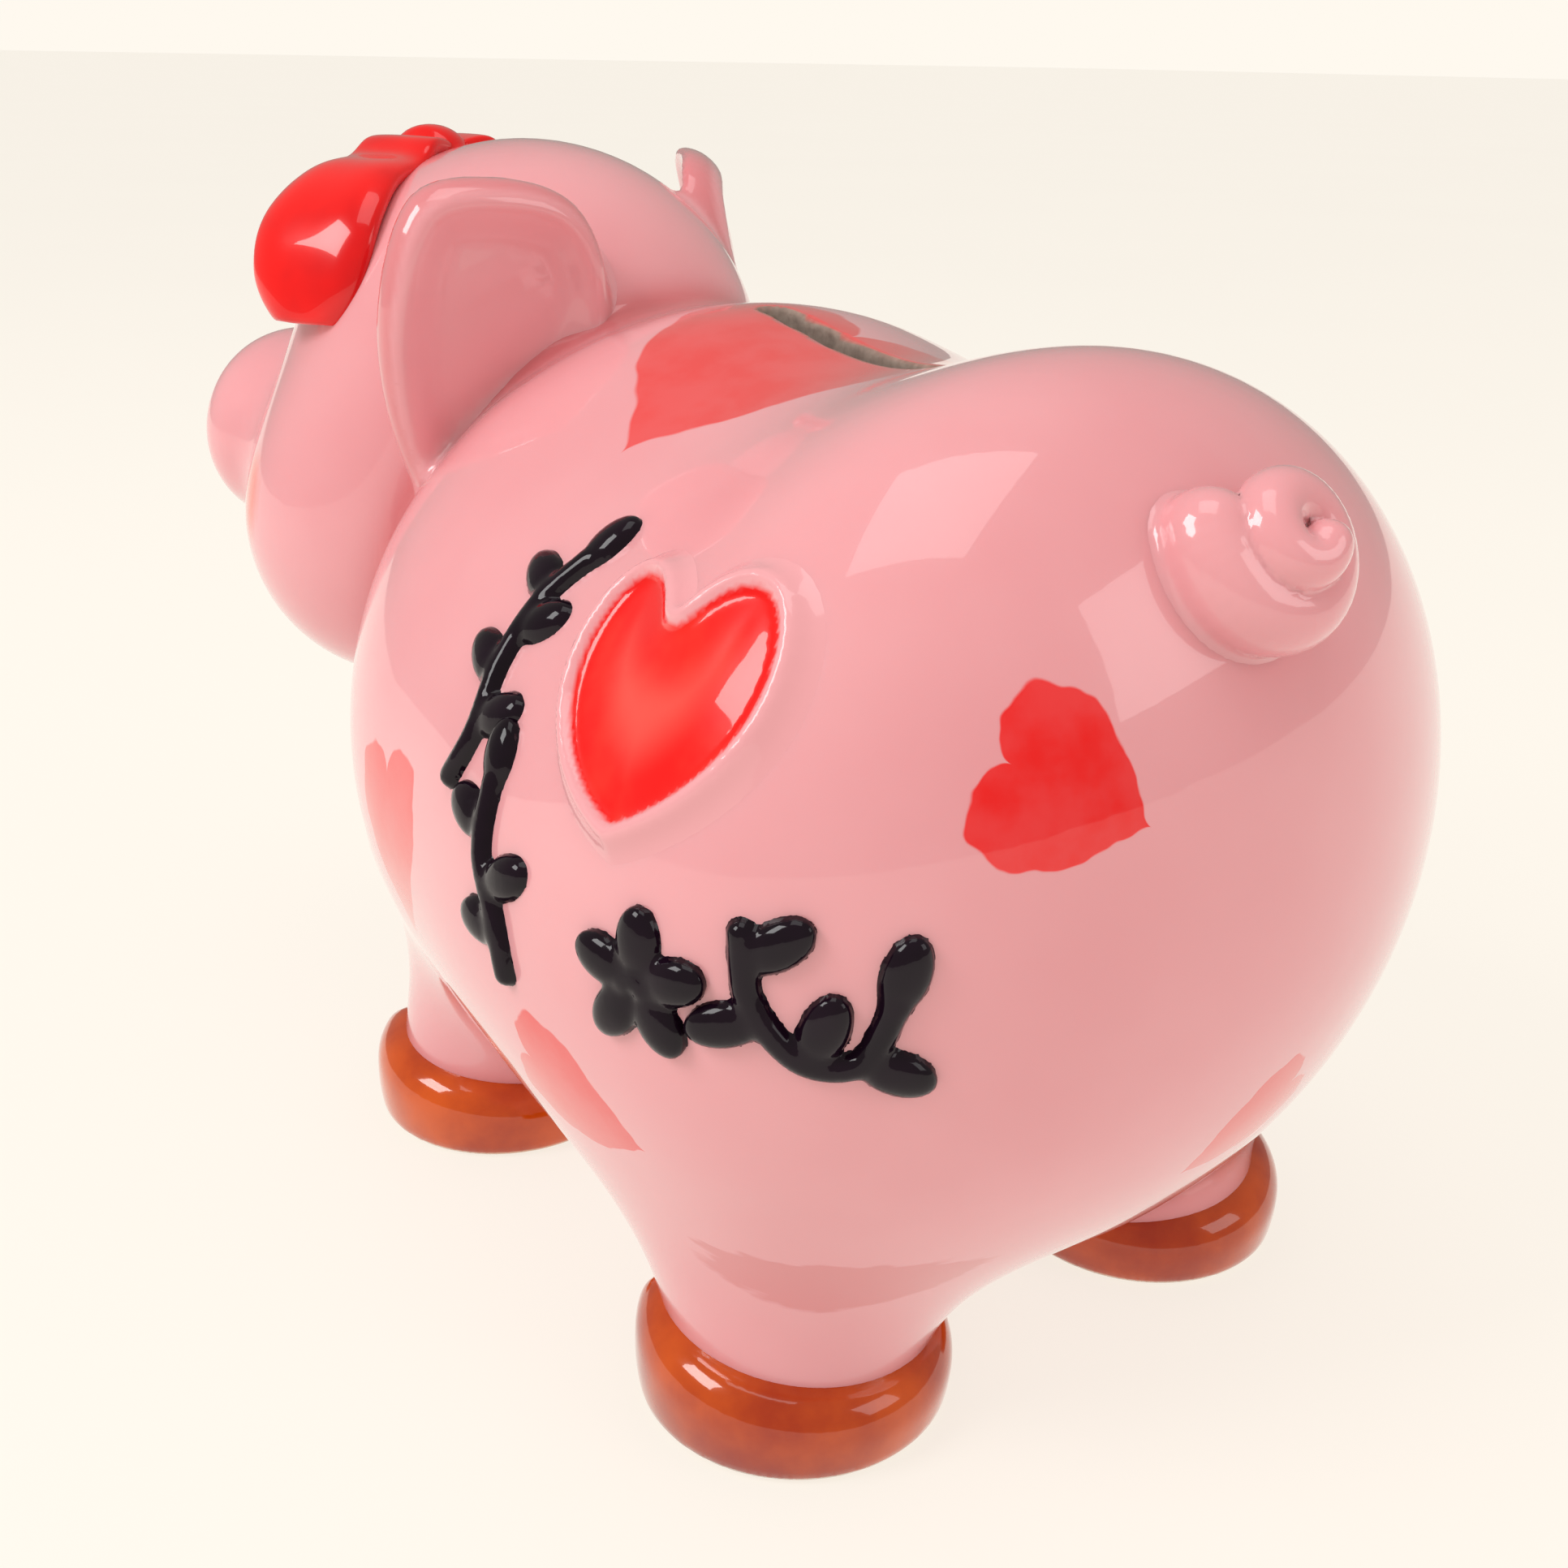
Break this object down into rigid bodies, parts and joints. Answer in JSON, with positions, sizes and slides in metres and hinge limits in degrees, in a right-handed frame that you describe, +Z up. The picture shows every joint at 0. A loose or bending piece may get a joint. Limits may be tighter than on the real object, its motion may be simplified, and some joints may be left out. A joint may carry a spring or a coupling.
{
  "type": "figural animal coin bank",
  "caption": "Round standing pig coin bank in glazed ceramic, head turned aside, with a bow, a curly tail, a coin slot on the back and a belly stopper.",
  "frame": {"origin": "the middle of the bounding box in plan, on the ground under the hooves", "axes": "+Z up, the pig faces -Y with its tail to +Y, and its own left side is +X"},
  "size_m": [0.1292, 0.1992, 0.1466],
  "materials": {
    "pink_glaze": "glossy pink glaze",
    "red_glaze": "glossy red glaze",
    "amber_glaze": "glossy translucent brown glaze",
    "black_glaze": "glossy black slip trail",
    "rubber": "matt off-white rubber"
  },
  "bodies": {
    "bank": {"body_shell": "pink_glaze", "snout": "pink_glaze", "ear_left": "pink_glaze", "ear_right": "pink_glaze", "tail": "pink_glaze", "eye_left": "black_glaze", "eye_right": "black_glaze", "bow_loop_left": "red_glaze", "bow_loop_right": "red_glaze", "bow_knot": "red_glaze", "heart_medallion": "red_glaze", "vine_upper": "black_glaze", "vine_lower_front": "black_glaze", "blossom": "black_glaze", "vine_lower_rear": "black_glaze", "hoof_rear_left": "amber_glaze", "hoof_rear_right": "amber_glaze", "hoof_front_left": "amber_glaze", "hoof_front_right": "amber_glaze"},
    "stopper": {"stopper": "rubber"}
  },
  "joints": [
    {"name": "stopper_pull", "type": "slide", "parent": "bank", "child": "stopper", "axis": [0, 0, -1], "range_m": [0, 0.013]}
  ]
}
